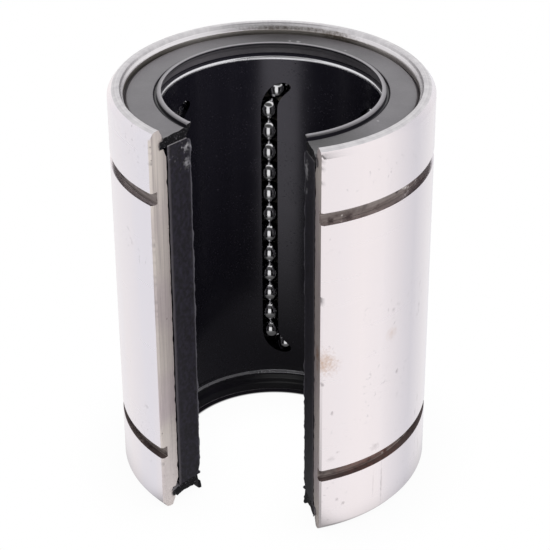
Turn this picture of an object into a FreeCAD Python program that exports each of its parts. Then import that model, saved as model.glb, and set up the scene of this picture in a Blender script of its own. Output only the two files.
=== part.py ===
import FreeCAD, Part
import math
import os
import re
import Sketcher

# Open-type linear ball bearing for a 35 mm shaft, standing on one end.
# The bore runs along Z, the origin is in the bore at mid-length, and the slot faces -Y.
# Five ball circuits stand at equal spacing. The slot takes the place of a sixth.

# Driving dimensions in millimetres, degrees and plain counts
SIZES = {
    # overall
    "shaft_diameter": 35.0,
    "outer_diameter": 52.0,
    "bearing_length": 70.0,
    "slot_angle": 61.6,
    # outer sleeve
    "bore_relief": 1.231,
    "end_chamfer": 1.1,
    "ring_groove_span": 49.5,
    "ring_groove_width": 2.1,
    "ring_groove_depth": 1.2,
    "mouth_step": 0.75,
    "mouth_bevel": 0.4,
    "mouth_ledge_step": 0.55,
    "mouth_taper_depth": 5.0,
    "snap_groove_step": 1.3,
    "snap_groove_top": 2.2,
    "snap_groove_height": 1.3,
    # raised raceways inside the sleeve
    "land_angle": 6.4,
    "land_end_ramp": 0.8,
    "land_setback": 2.0,
    "land_root": 0.8,
    "raceway_clearance": 0.04,
    # end seals
    "seal_seat_depth": 3.2,
    "seal_clearance": 0.1,
    "seal_face_outer_depth": 1.76,
    "seal_face_inner_depth": 1.36,
    "seal_face_edge": 0.4,
    "seal_lip_top_depth": 0.58,
    "seal_lip_width": 1.0,
    "seal_lip_clearance": 0.05,
    "seal_lip_undercut": 0.25,
    "seal_bore_relief": 0.75,
    # ball retainer
    "cage_bore_clearance": 0.2,
    "cage_outer_clearance": 0.5,
    "cage_mouth_flare": 0.35,
    "cage_mouth_depth": 2.3,
    "cage_floor": 0.45,
    "cage_end_wall": 3.0,
    "track_width": 4.5,
    "channel_clearance": 0.33,
    "hook_rise": 1.05,
    # balls and circuits
    "ball_diameter": 3.969,
    "ball_gap": 0.051,
    "ball_phase": 1.3,
    "turn_balls": 3,
    "turn_slack": 0.08,
    "circuit_count": 5,
    "circuit_offset": 3.6,
    "return_lift": 0.965,
    "turn_lift_entry": 0.257,
    "turn_lift_crown": 0.816,
    "turn_lift_exit": 0.927,
}

doc = FreeCAD.newDocument("LinearBearing")
sheet = doc.addObject("Spreadsheet::Sheet", "Sizes")
for row, (alias, number) in enumerate(SIZES.items(), start=1):
    sheet.set(f"A{row}", alias)
    sheet.set(f"B{row}", str(number))
    sheet.setAlias(f"B{row}", alias)
doc.recompute()

# Sizes that follow from the driving ones, as formulas on the sheet's aliases
OUTER_RADIUS = "(outer_diameter / 2)"
HALF_LENGTH = "(bearing_length / 2)"
SLEEVE_BORE = "(shaft_diameter / 2 + ball_diameter + bore_relief)"
BALL_CIRCLE = "(shaft_diameter / 2 + ball_diameter / 2)"
RACEWAY_RADIUS = "(shaft_diameter / 2 + ball_diameter + raceway_clearance)"
BALL_PITCH = "(ball_diameter + ball_gap)"
TURN_RADIUS = f"(({BALL_PITCH} + turn_slack) / (2 * sin(90 deg / turn_balls)))"
CAGE_BORE = "(shaft_diameter / 2 + cage_bore_clearance)"
CAGE_OUTER = f"({SLEEVE_BORE} - cage_outer_clearance)"
CAGE_HALF = f"({HALF_LENGTH} - seal_seat_depth)"
TRACK_END = f"({TURN_RADIUS} + track_width / 2)"
STRAIGHT_BALLS = f"floor(2 * ({CAGE_HALF} - {TRACK_END} - cage_end_wall) / {BALL_PITCH})"
HALF_STRAIGHT = f"({STRAIGHT_BALLS} * {BALL_PITCH} / 2)"
LOAD_X = f"sqrt({BALL_CIRCLE} ^ 2 - {TURN_RADIUS} ^ 2)"
ROW_ANGLE = f"asin({TURN_RADIUS} / {BALL_CIRCLE}) / 1 deg"
CIRCUIT_SPACING = "(360 / (circuit_count + 1))"
FIRST_CIRCUIT = f"({CIRCUIT_SPACING} - 90 + circuit_offset)"
RING_ANGLE = "(360 - slot_angle)"


def on_sheet(formula):
    """The formula with each alias written as a cell of the sheet."""
    return re.sub(r"[a-z]+(?:_[a-z]+)+", r"Sizes.\g<0>", formula)


def value(formula):
    """The number that a formula gives now."""
    return float(sheet.evalExpression(on_sheet(formula)))


def bind(thing, name, formula):
    """Tie a property of an object to the sheet."""
    thing.setExpression(name, on_sheet(formula))


def origin_part(body, role):
    """One of a body's own origin planes or axes."""
    return next(part for part in body.Origin.OriginFeatures if part.Role == role)


def new_sketch(body, name, plane, turn=None, height=None):
    """An empty sketch on an origin plane, turned about the bore's axis or raised along it."""
    sketch = body.newObject("Sketcher::SketchObject", name)
    sketch.AttachmentSupport = [(origin_part(body, plane), "")]
    sketch.MapMode = "FlatFace"
    if turn:
        bore_axis = FreeCAD.Vector(0, 0, 1) if plane == "XY_Plane" else FreeCAD.Vector(0, 1, 0)
        facing = FreeCAD.Rotation(bore_axis, value(turn))
        sketch.AttachmentOffset = FreeCAD.Placement(FreeCAD.Vector(), facing)
        bind(sketch, "AttachmentOffset.Rotation.Angle", turn)
    if height:
        bind(sketch, "AttachmentOffset.Base.z", height)
    return sketch


def pin_point(sketch, geometry, point, formula_x, formula_y):
    """Tie one point of a sketch to its two formulas."""
    for kind, formula in (("DistanceX", formula_x), ("DistanceY", formula_y)):
        rule = Sketcher.Constraint(kind, -1, 1, geometry, point, value(formula))
        index = sketch.addConstraint(rule)
        bind(sketch, f"Constraints[{index}]", formula)


def add_outline(sketch, corners):
    """A closed outline of straight sides through corners that are pairs of formulas."""
    spots = [FreeCAD.Vector(value(x), value(y), 0) for x, y in corners]
    following = spots[1:] + spots[:1]
    sides = [Part.LineSegment(a, b) for a, b in zip(spots, following)]
    first = sketch.addGeometry(sides, False)[0]
    for index, (x, y) in enumerate(corners):
        after = first + (index + 1) % len(corners)
        sketch.addConstraint(Sketcher.Constraint("Coincident", first + index, 2, after, 1))
        pin_point(sketch, first + index, 1, x, y)


def add_circle(sketch, x, y, radius):
    """A circle whose centre and radius are formulas."""
    centre = FreeCAD.Vector(value(x), value(y), 0)
    circle = sketch.addGeometry(Part.Circle(centre, FreeCAD.Vector(0, 0, 1), value(radius)), False)
    pin_point(sketch, circle, 3, x, y)
    index = sketch.addConstraint(Sketcher.Constraint("Radius", circle, value(radius)))
    bind(sketch, f"Constraints[{index}]", radius)


def add_axis(sketch, start, end):
    """A construction line for a feature to turn about."""
    spots = [FreeCAD.Vector(value(x), value(y), 0) for x, y in (start, end)]
    line = sketch.addGeometry(Part.LineSegment(*spots), True)
    pin_point(sketch, line, 1, *start)
    pin_point(sketch, line, 2, *end)


def turned(body, kind, name, sketch, axis, angle, midplane=False, backwards=False):
    """A Revolution or a Groove of a sketch about one of its axes."""
    feature = body.newObject(f"PartDesign::{kind}", name)
    feature.Profile = sketch
    feature.ReferenceAxis = (sketch, [axis])
    feature.Midplane = midplane
    feature.Reversed = backwards
    bind(feature, "Angle", angle)
    body.Tip = feature
    doc.recompute()
    return feature


def pocketed(body, name, sketch, length):
    """A pocket that reaches half its length to each side of its sketch."""
    feature = body.newObject("PartDesign::Pocket", name)
    feature.Profile = sketch
    feature.SideType = "Symmetric"
    bind(feature, "Length", length)
    body.Tip = feature
    doc.recompute()
    return feature


def round_the_bore(body, name, features):
    """Repeat features of the first circuit at every other circuit."""
    pattern = body.newObject("PartDesign::PolarPattern", name)
    pattern.Originals = features
    pattern.Axis = (origin_part(body, "Z_Axis"), [""])
    bind(pattern, "Angle", f"{CIRCUIT_SPACING} * (circuit_count - 1)")
    bind(pattern, "Occurrences", "circuit_count")
    body.Tip = pattern
    doc.recompute()
    return pattern


def both_ways(points):
    """An outline's upper corners, bore side first, followed by their mirror images below."""
    return points + [(x, f"-({y})") for x, y in reversed(points)]


def make_sleeve():
    """The turned steel sleeve with its raised raceways."""
    body = doc.addObject("PartDesign::Body", "OuterSleeve")
    body.Label = "outer_sleeve"
    mouth = f"{SLEEVE_BORE} + mouth_step"
    snap = f"{SLEEVE_BORE} + snap_groove_step"
    snap_floor = f"{HALF_LENGTH} - snap_groove_top - snap_groove_height"
    ledge = f"{SLEEVE_BORE} + mouth_ledge_step"
    groove_floor = f"{OUTER_RADIUS} - ring_groove_depth"
    groove_low = "ring_groove_span / 2 - ring_groove_width"
    section = new_sketch(body, "SleeveSection", "YZ_Plane")
    add_outline(section, both_ways([
        (SLEEVE_BORE, f"{HALF_LENGTH} - mouth_taper_depth"),
        (ledge, snap_floor),
        (snap, snap_floor),
        (snap, f"{HALF_LENGTH} - snap_groove_top"),
        (mouth, f"{HALF_LENGTH} - snap_groove_top"),
        (mouth, f"{HALF_LENGTH} - mouth_bevel"),
        (f"{mouth} + mouth_bevel", HALF_LENGTH),
        (f"{OUTER_RADIUS} - end_chamfer", HALF_LENGTH),
        (OUTER_RADIUS, f"{HALF_LENGTH} - end_chamfer"),
        (OUTER_RADIUS, "ring_groove_span / 2"),
        (groove_floor, "ring_groove_span / 2"),
        (groove_floor, groove_low),
        (OUTER_RADIUS, groove_low),
    ]))
    turned(body, "Revolution", "SleeveRing", section, "V_Axis", RING_ANGLE, midplane=True)

    land_half = f"{HALF_STRAIGHT} - land_setback"
    inside_wall = f"{SLEEVE_BORE} + land_root"
    land = new_sketch(body, "LandSection", "YZ_Plane", turn=f"{FIRST_CIRCUIT} - 90 + {ROW_ANGLE}")
    add_outline(land, both_ways([
        (RACEWAY_RADIUS, f"{land_half} - land_end_ramp"),
        (SLEEVE_BORE, land_half),
        (inside_wall, land_half),
    ]))
    raceway = turned(body, "Revolution", "Raceway", land, "V_Axis", "land_angle", midplane=True)
    round_the_bore(body, "Raceways", [raceway])
    return body


def make_retainer():
    """The moulded cage. Its tracks are open towards the sleeve, and only the load lanes and their
    hooked ends break through the floor into the bore."""
    body = doc.addObject("PartDesign::Body", "BallRetainer")
    body.Label = "ball_retainer"
    section = new_sketch(body, "CageSection", "YZ_Plane")
    add_outline(section, both_ways([
        (CAGE_BORE, f"{CAGE_HALF} - cage_mouth_depth"),
        (f"{CAGE_BORE} + cage_mouth_flare", CAGE_HALF),
        (CAGE_OUTER, CAGE_HALF),
    ]))
    turned(body, "Revolution", "CageTube", section, "V_Axis", RING_ANGLE, midplane=True)

    facing = FIRST_CIRCUIT
    inner = "shaft_diameter / 4"
    outer = OUTER_RADIUS
    near = f"{TURN_RADIUS} - track_width / 2"
    far = f"{TURN_RADIUS} + track_width / 2"
    lane = [(inner, near), (outer, near), (outer, far), (inner, far)]
    across = [(x, f"-({y})") for x, y in lane]
    load_lane = new_sketch(body, "LoadLaneSection", "XY_Plane", facing)
    add_outline(load_lane, lane)
    return_lane = new_sketch(body, "ReturnLaneSection", "XY_Plane", facing)
    add_outline(return_lane, across)
    tracks = [
        pocketed(body, "LoadLane", load_lane, f"2 * {HALF_STRAIGHT}"),
        pocketed(body, "ReturnLane", return_lane, f"2 * {HALF_STRAIGHT}"),
    ]
    for name, height, downwards in (("Upper", HALF_STRAIGHT, False), ("Lower", f"-{HALF_STRAIGHT}", True)):
        bend = new_sketch(body, f"{name}TurnSection", "XY_Plane", facing, height)
        add_outline(bend, lane)
        tracks.append(turned(body, "Groove", f"{name}Turn", bend, "H_Axis", "180", backwards=downwards))
    round_the_bore(body, "Tracks", tracks)

    floor_half = f"{HALF_STRAIGHT} + {TRACK_END} + cage_floor"
    floor = new_sketch(body, "FloorSection", "YZ_Plane")
    add_outline(floor, both_ways([
        (CAGE_BORE, floor_half),
        (f"{CAGE_BORE} + cage_floor", floor_half),
    ]))
    turned(body, "Revolution", "TrackFloor", floor, "V_Axis", RING_ANGLE, midplane=True)

    channel_radius = "ball_diameter / 2 + channel_clearance"
    channel = new_sketch(body, "ChannelSection", "XY_Plane", facing)
    add_circle(channel, LOAD_X, TURN_RADIUS, channel_radius)
    openings = [pocketed(body, "LoadSlot", channel, f"2 * {HALF_STRAIGHT}")]
    crown = f"{LOAD_X} + hook_rise"
    for name, height, downwards in (("Upper", HALF_STRAIGHT, False), ("Lower", f"-{HALF_STRAIGHT}", True)):
        hook = new_sketch(body, f"{name}HookSection", "XY_Plane", facing, height)
        add_circle(hook, LOAD_X, TURN_RADIUS, channel_radius)
        add_axis(hook, (crown, "0"), (f"{crown} + {TURN_RADIUS}", "hook_rise"))
        openings.append(turned(body, "Groove", f"{name}Hook", hook, "Axis0", "90", backwards=downwards))
    round_the_bore(body, "LoadSlots", openings)
    return body


def make_seal(name, label, side):
    """A moulded end ring: a bead in the sleeve's snap groove, a sloping face and a lip round the shaft."""
    body = doc.addObject("PartDesign::Body", name)
    body.Label = label
    bead = f"{SLEEVE_BORE} + snap_groove_step - seal_clearance"
    rim = f"{SLEEVE_BORE} + mouth_step - seal_clearance"
    skirt = f"{SLEEVE_BORE} - seal_clearance"
    lip = "shaft_diameter / 2 + seal_lip_clearance"
    lip_back = f"{lip} + seal_lip_width"
    relief = f"{lip} + seal_bore_relief"
    depths = [
        (relief, "seal_seat_depth"),
        (skirt, "seal_seat_depth"),
        (skirt, "snap_groove_top + snap_groove_height"),
        (bead, "snap_groove_top + snap_groove_height"),
        (bead, "snap_groove_top + seal_clearance"),
        (rim, "snap_groove_top + seal_clearance"),
        (f"{rim} - seal_face_edge", "seal_face_outer_depth"),
        (f"{lip_back} + seal_face_edge", "seal_face_inner_depth"),
        (lip_back, "seal_face_inner_depth"),
        (lip_back, "seal_lip_top_depth"),
        (lip, "seal_lip_top_depth"),
        (f"{lip} + seal_lip_undercut", "seal_face_inner_depth"),
        (relief, "seal_face_inner_depth + seal_bore_relief"),
    ]
    section = new_sketch(body, f"{name}Section", "YZ_Plane")
    add_outline(section, [(radius, f"{side} * ({HALF_LENGTH} - ({depth}))") for radius, depth in depths])
    turned(body, "Revolution", f"{name}Ring", section, "V_Axis", RING_ANGLE, midplane=True)
    return body


def make_ball_group(label, centres):
    """A group of separate balls that run in one stretch of a track."""
    balls = []
    for number, centre in enumerate(centres, start=1):
        ball = doc.addObject("Part::Sphere", f"{label}_ball_{number}")
        bind(ball, "Radius", "ball_diameter / 2")
        ball.Placement = FreeCAD.Placement(centre, FreeCAD.Rotation())
        balls.append(ball)
    group = doc.addObject("Part::Compound", label)
    group.Label = label
    group.Links = balls
    return group


def make_circuit(number):
    """The balls of one closed circuit, as its load row, return row and two turns."""
    turn_radius = value(TURN_RADIUS)
    half_straight = value(HALF_STRAIGHT)
    ball_circle = value(BALL_CIRCLE)
    pitch = value(BALL_PITCH)
    phase = value("ball_phase")
    straight_balls = round(value(STRAIGHT_BALLS))
    turned_by = value(FIRST_CIRCUIT) + (number - 1) * value(CIRCUIT_SPACING)
    facing = FreeCAD.Rotation(FreeCAD.Vector(0, 0, 1), turned_by)

    def row(radius, across, shift):
        outwards = math.sqrt(radius ** 2 - across ** 2)
        heights = [(index + 0.5) * pitch - half_straight + shift for index in range(straight_balls)]
        return [facing.multVec(FreeCAD.Vector(outwards, across, height)) for height in heights]

    return_circle = ball_circle + value("return_lift")
    crown_lift = value("turn_lift_crown")
    turn_balls = round(value("turn_balls"))
    lifts = [value("turn_lift_entry")] + [crown_lift] * (turn_balls - 2) + [value("turn_lift_exit")]
    step = math.pi / turn_balls

    def bend(side):
        centres = []
        for index, lift in enumerate(lifts):
            middle = (index + 0.5) * step
            outwards = math.sqrt((ball_circle + lift) ** 2 - (turn_radius * math.cos(middle)) ** 2)
            angle = middle + side * step * phase / pitch
            across = turn_radius * math.cos(angle)
            height = side * (half_straight + turn_radius * math.sin(angle))
            centres.append(facing.multVec(FreeCAD.Vector(outwards, across, height)))
        return centres

    name = f"circuit_{number}"
    return [
        make_ball_group(f"{name}_load_row", row(ball_circle, turn_radius, phase)),
        make_ball_group(f"{name}_return_row", row(return_circle, -turn_radius, -phase)),
        make_ball_group(f"{name}_upper_turn", bend(1)),
        make_ball_group(f"{name}_lower_turn", bend(-1)),
    ]


pieces = [
    make_sleeve(),
    make_retainer(),
    make_seal("UpperSeal", "upper_end_seal", 1),
    make_seal("LowerSeal", "lower_end_seal", -1),
]
for circuit in range(1, round(value("circuit_count")) + 1):
    pieces += make_circuit(circuit)
doc.recompute()

for thing in doc.Objects:
    if {"Invalid", "Error"} & set(thing.State):
        raise RuntimeError(f"{thing.Label} did not recompute: {thing.State}")
for piece in pieces:
    if piece.Shape.isNull() or not piece.Shape.isValid():
        raise RuntimeError(f"{piece.Label} has no valid shape")

os.makedirs("parts", exist_ok=True)
for piece in pieces:
    piece.Shape.exportStep(f"parts/{piece.Label}.step")
    print(f"{piece.Label}: {len(piece.Shape.Solids)} solids, {piece.Shape.Volume:.1f} mm3")
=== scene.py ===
import math

import bmesh
import bpy
from mathutils import Matrix, Vector, noise


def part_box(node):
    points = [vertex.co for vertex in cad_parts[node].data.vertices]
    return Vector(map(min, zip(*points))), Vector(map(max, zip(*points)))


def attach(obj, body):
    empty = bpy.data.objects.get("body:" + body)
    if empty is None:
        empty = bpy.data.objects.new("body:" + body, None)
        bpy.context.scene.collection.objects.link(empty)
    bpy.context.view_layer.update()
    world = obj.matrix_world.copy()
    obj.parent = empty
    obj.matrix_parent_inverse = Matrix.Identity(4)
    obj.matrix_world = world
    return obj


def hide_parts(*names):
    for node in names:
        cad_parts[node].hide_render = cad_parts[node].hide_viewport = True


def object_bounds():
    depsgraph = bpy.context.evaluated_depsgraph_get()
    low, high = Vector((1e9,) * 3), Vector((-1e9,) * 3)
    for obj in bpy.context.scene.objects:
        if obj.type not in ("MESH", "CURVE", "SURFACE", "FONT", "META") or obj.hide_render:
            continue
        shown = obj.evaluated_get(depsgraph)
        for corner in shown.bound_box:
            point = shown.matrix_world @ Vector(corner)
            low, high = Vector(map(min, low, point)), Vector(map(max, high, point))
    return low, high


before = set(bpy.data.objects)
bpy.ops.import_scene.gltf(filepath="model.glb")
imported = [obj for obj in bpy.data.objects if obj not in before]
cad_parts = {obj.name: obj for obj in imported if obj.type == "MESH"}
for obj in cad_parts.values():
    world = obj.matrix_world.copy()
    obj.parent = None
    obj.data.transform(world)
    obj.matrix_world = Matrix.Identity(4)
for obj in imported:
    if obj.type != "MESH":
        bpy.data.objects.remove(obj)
cad_low, cad_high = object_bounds()

# Outer sleeve: one tube of hardened bearing steel, turned, cut open along its whole length and
# ground bright outside. Each end of its bore steps out into a mouth with a snap groove for a seal,
# and two square grooves outside take retaining rings. The cut edges are chipped and stained.
MM = 0.001
sleeve_low, sleeve_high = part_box("outer_sleeve")
OUTER_RADIUS = sleeve_high.x
HALF_LENGTH = sleeve_high.z
SLOT_HALF = math.acos(-sleeve_low.y / OUTER_RADIUS)
RING_ANGLE = math.tau - 2 * SLOT_HALF
RING_START = SLOT_HALF - math.pi / 2
RING_STEPS = 132
SLEEVE_BORE = 22.7 * MM
MOUTH_RADIUS = 23.45 * MM
LEDGE_RADIUS = 23.25 * MM
SNAP_RADIUS = 24.0 * MM
SNAP_TOP = HALF_LENGTH - 2.2 * MM
SNAP_FLOOR = HALF_LENGTH - 3.5 * MM
TAPER_END = HALF_LENGTH - 5.0 * MM
MOUTH_EASE = 1.2 * MM
RIM_SHOULDER = 23.8 * MM
RIM_SHOULDER_DROP = 0.62 * MM
RIM_CROWN = 24.05 * MM
RIM_BROW = 25.15 * MM
RIM_BROW_DROP = 0.12 * MM
END_CHAMFER = 1.2 * MM
RING_GROOVE_TOP = 24.75 * MM
RING_GROOVE_LOW = 22.65 * MM
RING_GROOVE_FLOOR = OUTER_RADIUS - 1.2 * MM
SHARP = 0.06 * MM
EASED = 0.2 * MM
WORN = 0.4 * MM
SLEEVE_ROW = 0.31 * MM
WALL_STEP = 0.5 * MM
CUT_BANDS = [0.1 * MM, 0.32 * MM, 0.7 * MM, 1.5 * MM]
NEAR_CUT = 4 * MM
END_FACE = CUT_BANDS[0] / 4
CORNER_STEPS = 4
SLICE_EXACT = MM / 1000
MERGE = MM / 100
SMOOTH_BELOW = math.radians(32)


def both_ends(upper):
    """A section's upper corners, bore side first, followed by their mirror images below."""
    return upper + [(radius, -height, rounding) for radius, height, rounding in reversed(upper)]


def steps_between(low, high, step):
    """Even places from low to high, no more than a step apart, without the two ends."""
    count = math.ceil((high - low) / step)
    return [low + (high - low) * index / count for index in range(1, count)]


def slice_flat(ring, faces, normal, distance):
    """Cut some faces of a mesh by a plane at a distance from the origin."""
    edges = dict.fromkeys(edge for face in faces for edge in face.edges)
    corners = dict.fromkeys(corner for face in faces for corner in face.verts)
    bmesh.ops.bisect_plane(
        ring,
        geom=list(corners) + list(edges) + faces,
        dist=SLICE_EXACT,
        plane_co=Vector(normal) * distance,
        plane_no=normal,
    )


def behind_cut(side):
    """The level direction that leads straight into the metal from one of the two cut faces."""
    return Vector((side * math.cos(SLOT_HALF), math.sin(SLOT_HALF), 0))


def past_cut(place, side):
    """How far a place lies behind one of the two cut faces."""
    if place.x * side < 0 and place.y > 0:
        return OUTER_RADIUS
    return behind_cut(side).dot(place)


def nearest_cut(place):
    """The side of the slot that a place is on and how far it lies behind that cut face."""
    side = 1 if place.x > 0 else -1
    return side, past_cut(place, side)


def spun_section(corners, row_height):
    """A section of rounded corners spun about the bore, with a grid on it so that its cut ends can be
    roughened."""
    ring = bmesh.new()
    spots = [ring.verts.new((radius, 0, height)) for radius, height, rounding in corners]
    ring.faces.new(spots)
    for size in sorted({rounding for radius, height, rounding in corners}):
        bmesh.ops.bevel(
            ring,
            geom=[spot for spot, corner in zip(spots, corners) if corner[2] == size],
            offset=size,
            offset_type="OFFSET",
            segments=CORNER_STEPS,
            profile=0.5,
            affect="VERTICES",
            material=-1,
        )
    radii = [corner[0] for corner in corners]
    heights = [corner[1] for corner in corners]
    for height in steps_between(min(heights), max(heights), row_height):
        slice_flat(ring, ring.faces[:], (0, 0, 1), height)
    for radius in steps_between(min(radii), max(radii), WALL_STEP):
        slice_flat(ring, ring.faces[:], (1, 0, 0), radius)
    bmesh.ops.rotate(ring, verts=ring.verts, matrix=Matrix.Rotation(RING_START, 3, "Z"))
    bmesh.ops.spin(
        ring,
        geom=ring.verts[:] + ring.edges[:] + ring.faces[:],
        axis=(0, 0, 1),
        angle=RING_ANGLE,
        steps=RING_STEPS,
        use_merge=False,
    )
    for side in (-1, 1):
        for distance in CUT_BANDS:
            near = [
                face for face in ring.faces
                if past_cut(face.calc_center_median(), side) < NEAR_CUT
            ]
            slice_flat(ring, near, behind_cut(side), distance)
    bmesh.ops.recalc_face_normals(ring, faces=ring.faces)
    return ring


def lumps(place, size, seed):
    """Smooth noise from -1 to 1, with lumps of about the given size."""
    return noise.noise(Vector(place) / size + Vector((seed, 2.3 * seed, 4.1 * seed)))


def as_piece(name, ring, materials, replaced):
    """Make a finished mesh an object of the bearing's shell, in the place of its part of the frame."""
    mesh = bpy.data.meshes.new(name)
    for face in ring.faces:
        face.smooth = True
    ring.to_mesh(mesh)
    ring.free()
    for material in materials:
        mesh.materials.append(material)
    mesh.set_sharp_from_angle(angle=SMOOTH_BELOW)
    piece = bpy.data.objects.new(name, mesh)
    bpy.context.scene.collection.objects.link(piece)
    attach(piece, "shell")
    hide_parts(replaced)
    return piece


def linear(hex_colour):
    """An sRGB hex colour as linear red, green, blue and alpha."""
    shares = [int(hex_colour[index:index + 2], 16) / 255 for index in (1, 3, 5)]
    return [s / 12.92 if s <= 0.04045 else ((s + 0.055) / 1.055) ** 2.4 for s in shares] + [1.0]


def add_node(tree, kind, inputs=None, **settings):
    """Add a shader node, apply its settings, then set each input or link it to another output."""
    node = tree.nodes.new("ShaderNode" + kind)
    for name, setting in settings.items():
        setattr(node, name, setting)
    for name, given in (inputs or {}).items():
        if isinstance(given, bpy.types.NodeSocket):
            tree.links.new(given, node.inputs[name])
        else:
            node.inputs[name].default_value = given
    return node


def new_material(name, **fixed):
    """A material with a Principled shader, and the object coordinates that its patterns read."""
    material = bpy.data.materials.new(name)
    material.use_nodes = True
    tree = material.node_tree
    surface = tree.nodes["Principled BSDF"]
    for key, given in fixed.items():
        surface.inputs[key.replace("_", " ")].default_value = given
    place = add_node(tree, "TexCoord").outputs["Object"]
    return material, tree, surface, place


def from_axis(tree, place):
    """How far a place is from the axis of the bore."""
    flat = add_node(tree, "VectorMath", {0: place, 1: (1, 1, 0)}, operation="MULTIPLY")
    return add_node(tree, "VectorMath", {0: flat.outputs[0]}, operation="LENGTH").outputs["Value"]


def dapple(tree, place, scale, detail, colour, tint, low=0.0, high=1.0, most=1.0):
    """Lay a tint over a colour in patches of noise, from none at a low value of the noise to most at
    a high one. Gives the new colour and the noise."""
    patches = add_node(tree, "TexNoise", {
        "Vector": place, "Scale": scale, "Detail": detail}).outputs["Fac"]
    cover = add_node(tree, "MapRange", {
        "Value": patches, "From Min": low, "From Max": high, "To Max": most})
    mixed = add_node(tree, "MixRGB", {
        "Fac": cover.outputs[0], "Color1": colour, "Color2": linear(tint)})
    return mixed.outputs["Color"], patches


def tint_ring(tree, place, colour, tint, start, full, most):
    """Lay a tint over a colour from one radius, where it starts, to another, where it is strongest."""
    cover = add_node(tree, "MapRange", {
        "Value": from_axis(tree, place), "From Min": start, "From Max": full, "To Max": most})
    mixed = add_node(tree, "MixRGB", {
        "Fac": cover.outputs[0], "Color1": colour, "Color2": linear(tint)})
    return mixed.outputs["Color"]


def show_nicks(tree, colour):
    """Lay the grey of broken steel over a colour where an edge is chipped."""
    nick = add_node(tree, "Attribute", attribute_name="nick")
    mixed = add_node(tree, "MixRGB", {
        "Fac": nick.outputs["Fac"], "Color1": colour, "Color2": linear("#6e696b")})
    return mixed.outputs["Color"]


def set_finish(tree, surface, colour, pattern, first, last):
    """Give a surface its colour, and a roughness that goes from one value to another with a pattern."""
    tree.links.new(colour, surface.inputs["Base Color"])
    rough = add_node(tree, "MapRange", {"Value": pattern, "To Min": first, "To Max": last})
    tree.links.new(rough.outputs[0], surface.inputs["Roughness"])


def lay_marks(tree, place, colour, radius, marks, tint, frayed=1.4):
    """Lay marks of one tint, more or less frayed, over a colour. Each is an angle and a height on a
    round surface, a half width and a half height in millimetres, and a strength."""
    fray_size = 0.5 * MM
    fray_low = 0.36
    fray_high = 0.43
    fray = add_node(tree, "TexNoise", {"Vector": place, "Scale": 1 / fray_size, "Detail": 3.0})
    for angle, height, wide, tall, strength in marks:
        turn = math.radians(angle)
        middle = (radius * math.cos(turn), radius * math.sin(turn), height * MM)
        shares = (1 / wide / MM, 1 / wide / MM, 1 / tall / MM)
        away = add_node(tree, "VectorMath", {0: place, 1: middle}, operation="SUBTRACT")
        away = add_node(tree, "VectorMath", {0: away.outputs[0], 1: shares}, operation="MULTIPLY")
        reach = add_node(tree, "VectorMath", {0: away.outputs[0]}, operation="LENGTH")
        edge = add_node(tree, "Math", {
            0: fray.outputs["Fac"], 1: frayed, 2: reach.outputs["Value"]}, operation="MULTIPLY_ADD")
        cover = add_node(tree, "MapRange", {
            "Value": edge.outputs[0],
            "From Min": 1 + fray_high * frayed,
            "From Max": fray_low * frayed,
            "To Max": strength,
        })
        mixed = add_node(tree, "MixRGB", {
            "Fac": cover.outputs[0], "Color1": colour, "Color2": linear(tint)})
        colour = mixed.outputs["Color"]
    return colour


def ground_steel():
    """Ground bearing steel: bright, with faint upright bands of tint, bright and dark upright bands of
    painted reflection and a fine grain round the tube. Grey specks and nicks, a rust-coloured stain at
    the cut and a few scratches lie on it."""
    material, tree, surface, place = new_material("ground_bearing_steel", Metallic=1.0)
    band_width = 9 * MM
    band_height = 125 * MM
    bands = add_node(tree, "Mapping", {
        "Vector": place, "Scale": (1 / band_width, 1 / band_width, 1 / band_height)})
    colour, _ = dapple(tree, bands.outputs[0], 1.0, 2.0, linear("#e3dfe6"), "#e9e2e5", low=0.4, high=0.6)
    # Painted reflection: bright and dark upright bands that stand in for studio light mirrored in the
    # steel.
    colour = lay_marks(tree, place, colour, OUTER_RADIUS, PAINTED_REFLECTION_BANDS, "#f7eeef", frayed=0)
    colour = lay_marks(tree, place, colour, OUTER_RADIUS, PAINTED_DARK_BANDS, "#cdc9d1", frayed=0)
    speck_size = 0.7 * MM
    patch_size = 9 * MM
    speck = add_node(tree, "TexNoise", {"Vector": place, "Scale": 1 / speck_size, "Detail": 2.0})
    patch = add_node(tree, "TexNoise", {"Vector": place, "Scale": 1 / patch_size, "Detail": 1.0})
    dots = add_node(tree, "MapRange", {
        "Value": speck.outputs["Fac"], "From Min": 0.62, "From Max": 0.74, "To Max": 0.5})
    spread = add_node(tree, "MapRange", {
        "Value": patch.outputs["Fac"], "From Min": 0.5, "From Max": 0.7})
    grubby = add_node(tree, "Math", {0: dots.outputs[0], 1: spread.outputs[0]}, operation="MULTIPLY")
    mixed = add_node(tree, "MixRGB", {
        "Fac": grubby.outputs[0], "Color1": colour, "Color2": linear("#a79fa6")})
    colour = lay_marks(tree, place, mixed.outputs["Color"], OUTER_RADIUS, RUST_STAINS, "#b98f66")
    colour = lay_marks(tree, place, colour, OUTER_RADIUS, SCRATCHES, "#8d8588")
    # Real grinding lines are finer: these are as coarse as they need to be to show.
    grain_pitch = 0.5 * MM
    grain_length = 25 * MM
    grains = add_node(tree, "Mapping", {
        "Vector": place, "Scale": (1 / grain_length, 1 / grain_length, 1 / grain_pitch)})
    grain = add_node(tree, "TexNoise", {"Vector": grains.outputs[0], "Scale": 1.0, "Detail": 3.0})
    set_finish(tree, surface, show_nicks(tree, colour), grain.outputs["Fac"], 0.267, 0.277)
    return material


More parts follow.
